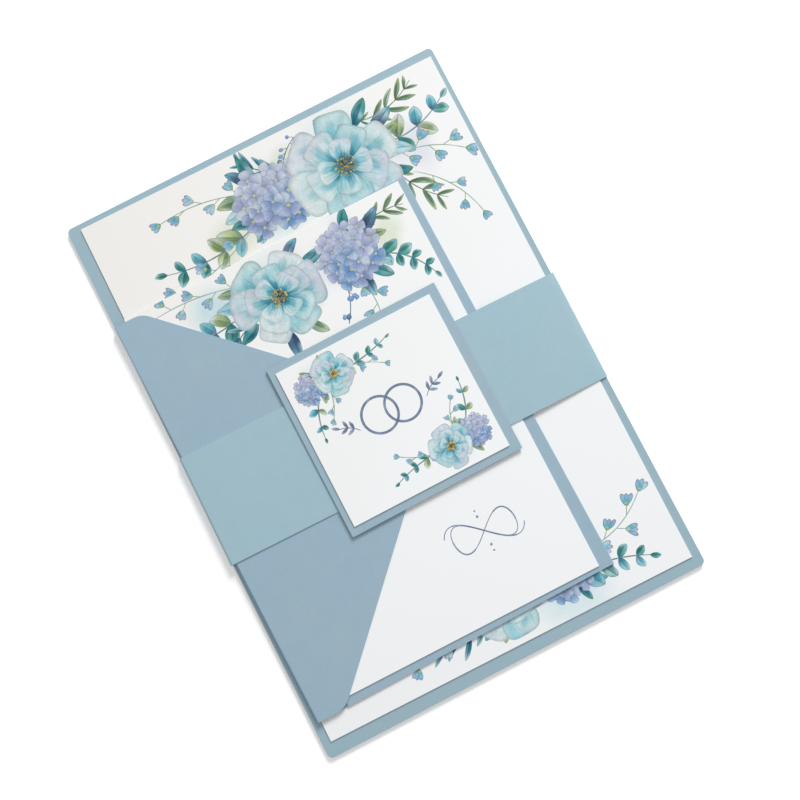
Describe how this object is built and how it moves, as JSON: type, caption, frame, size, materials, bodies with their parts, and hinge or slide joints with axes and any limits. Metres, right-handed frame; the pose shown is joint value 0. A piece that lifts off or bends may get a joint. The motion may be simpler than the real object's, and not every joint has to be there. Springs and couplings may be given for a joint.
{
  "type": "invitation card with reply set and belly band",
  "caption": "Flat invitation bundle: printed card on a blue backing, reply card in its envelope's folded flap, belly band and square tag.",
  "frame": {"origin": "on the surface that the bundle lies on, under the centre of the backing card", "axes": "+X across the card to the right, +Y up the card, +Z out of the printed faces"},
  "size_m": [0.1496, 0.21, 0.0036],
  "materials": {
    "backing_card": "pale blue pearl card, fine fibre",
    "printed_card": "white uncoated card with a watercolour-style print",
    "envelope_paper": "pale blue pearl envelope paper",
    "reply_stock": "white uncoated card with a watercolour-style print",
    "band_card": "pale blue pearl card, slightly brighter where it faces up",
    "tag_card": "pale blue pearl card, fine fibre",
    "tag_stock": "white uncoated card with a watercolour-style print"
  },
  "bodies": {
    "root": {"invitation_backing": "backing_card", "invitation_insert": "printed_card", "reply_envelope": "envelope_paper", "reply_card": "reply_stock", "belly_band": "band_card", "tag_backing": "tag_card", "tag_insert": "tag_stock"}
  },
  "joints": []
}
